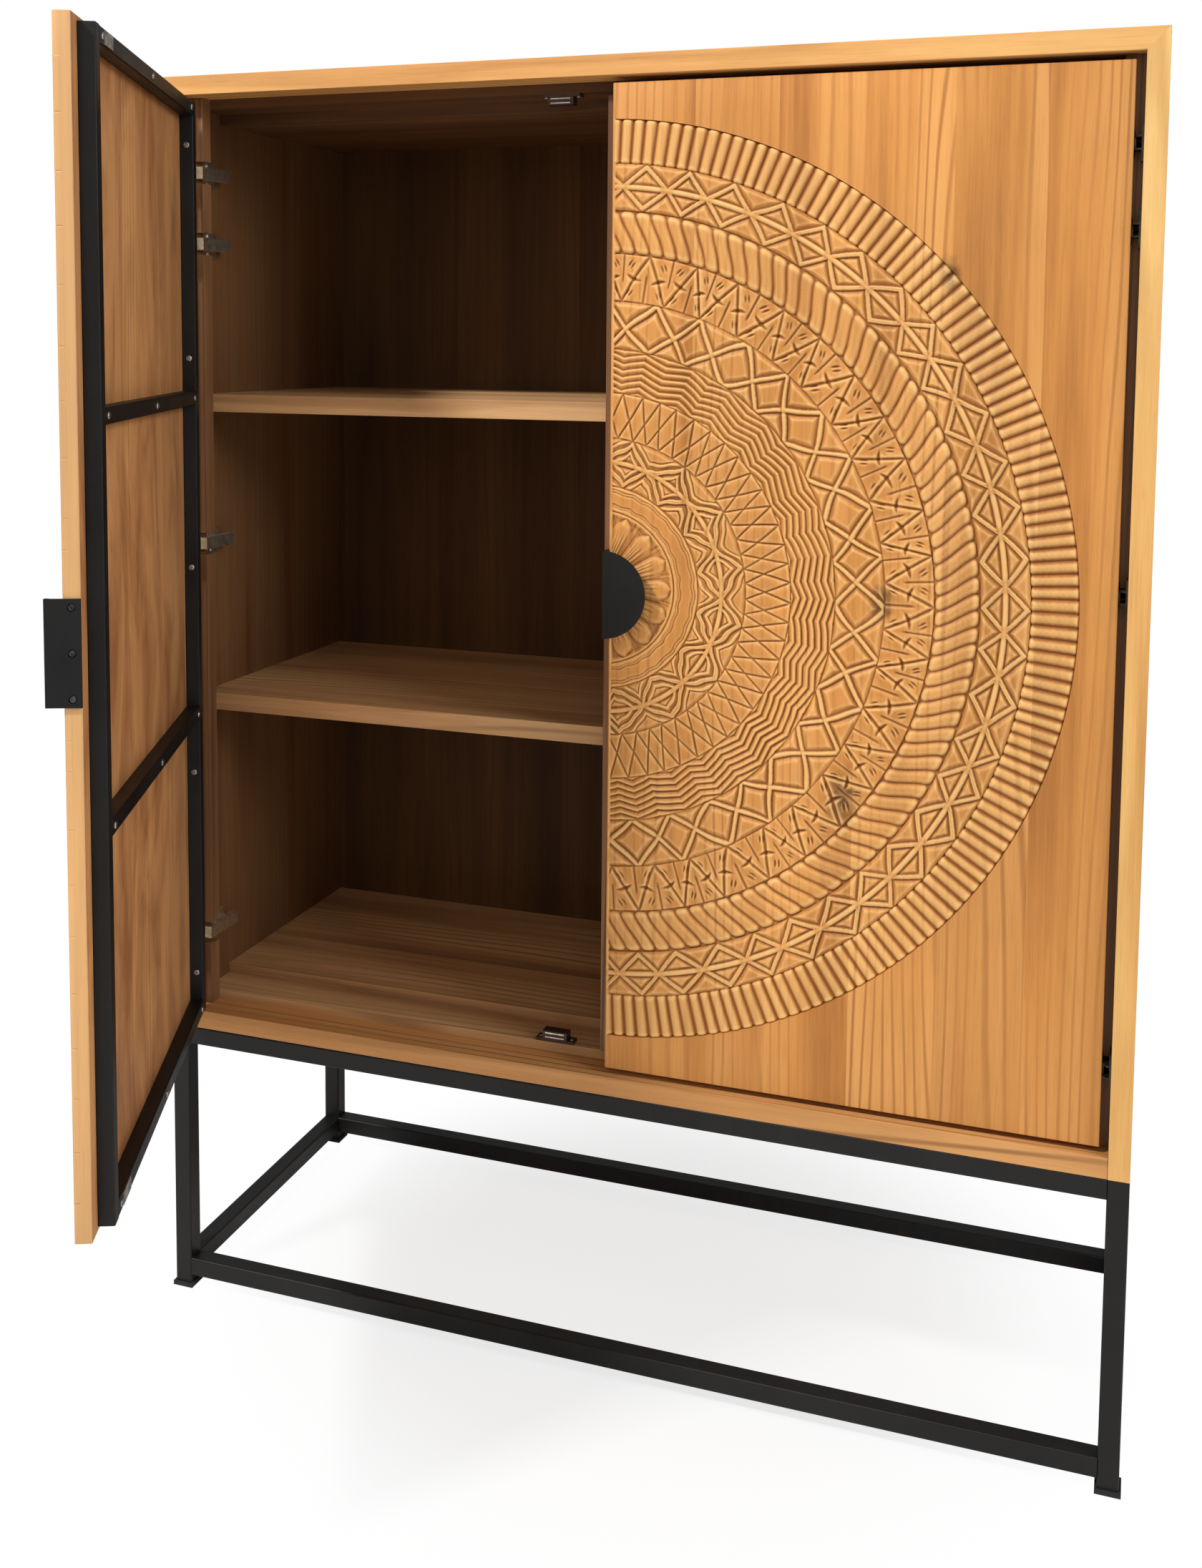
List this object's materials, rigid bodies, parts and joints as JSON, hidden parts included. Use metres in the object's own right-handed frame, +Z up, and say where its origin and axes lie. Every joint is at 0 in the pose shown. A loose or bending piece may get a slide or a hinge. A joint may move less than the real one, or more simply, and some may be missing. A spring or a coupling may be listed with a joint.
{
  "type": "carved cabinet",
  "caption": "Teak cabinet with two inset carved doors, shelves and half disc pulls, on an open stand of black square tube.",
  "frame": {"origin": "on the floor, in the middle of the stand's footprint", "axes": "+Z up, front faces -Y, +X to the right as seen from the front"},
  "size_m": [1.275, 1.0254, 1.68],
  "materials": {
    "teak": "satin oiled",
    "inner_teak": "satin stained",
    "black_iron": "satin powder coat",
    "nickel": "nickel plated",
    "zinc": "zinc plated",
    "brown_plastic": "moulded",
    "pad_rubber": "moulded"
  },
  "bodies": {
    "cabinet": {"back_panel": "inner_teak", "bottom_board": "teak", "catch_bodies": "brown_plastic", "catch_screws": "nickel", "catch_strips": "nickel", "ceiling_panel": "inner_teak", "ceiling_strip": "inner_teak", "floor_panel": "inner_teak", "floor_strip": "inner_teak", "foot_pads": "pad_rubber", "hinge_mount_screws": "nickel", "left_hinge_mounts": "nickel", "left_hinge_strip": "inner_teak", "left_side": "teak", "leg_back_left": "black_iron", "leg_back_right": "black_iron", "leg_front_left": "black_iron", "leg_front_right": "black_iron", "lower_shelf": "inner_teak", "right_hinge_mounts": "nickel", "right_hinge_strip": "inner_teak", "right_side": "teak", "stand_screws": "black_iron", "stretcher_back": "black_iron", "stretcher_front": "black_iron", "stretcher_left": "black_iron", "stretcher_right": "black_iron", "top_board": "teak", "top_rail_back": "black_iron", "top_rail_front": "black_iron", "top_rail_left": "black_iron", "top_rail_right": "black_iron", "upper_shelf": "inner_teak"},
    "left_door": {"left_door_crossbar_lower": "black_iron", "left_door_crossbar_upper": "black_iron", "left_door_frame_screws": "zinc", "left_door_hinge_cups": "nickel", "left_door_panel": "teak", "left_door_pull": "black_iron", "left_door_pull_screws": "black_iron", "left_door_rail_bottom": "black_iron", "left_door_rail_top": "black_iron", "left_door_stile_hinge": "black_iron", "left_door_stile_meeting": "black_iron", "left_door_strike_plates": "zinc"},
    "right_door": {"right_door_batten": "inner_teak", "right_door_crossbar_lower": "black_iron", "right_door_crossbar_upper": "black_iron", "right_door_frame_screws": "zinc", "right_door_hinge_cups": "nickel", "right_door_panel": "teak", "right_door_pull": "black_iron", "right_door_pull_screws": "black_iron", "right_door_rail_bottom": "black_iron", "right_door_rail_top": "black_iron", "right_door_stile_hinge": "black_iron", "right_door_stile_meeting": "black_iron", "right_door_strike_plates": "zinc"}
  },
  "joints": [
    {"name": "left_door_hinge", "type": "hinge", "parent": "cabinet", "child": "left_door", "pos_m": [-0.6192, -0.2202, 0.98], "axis": [0, 0, -1], "range_deg": [-67, 38]},
    {"name": "right_door_hinge", "type": "hinge", "parent": "cabinet", "child": "right_door", "pos_m": [0.6192, -0.2202, 0.98], "axis": [0, 0, 1], "range_deg": [0, 105]}
  ]
}
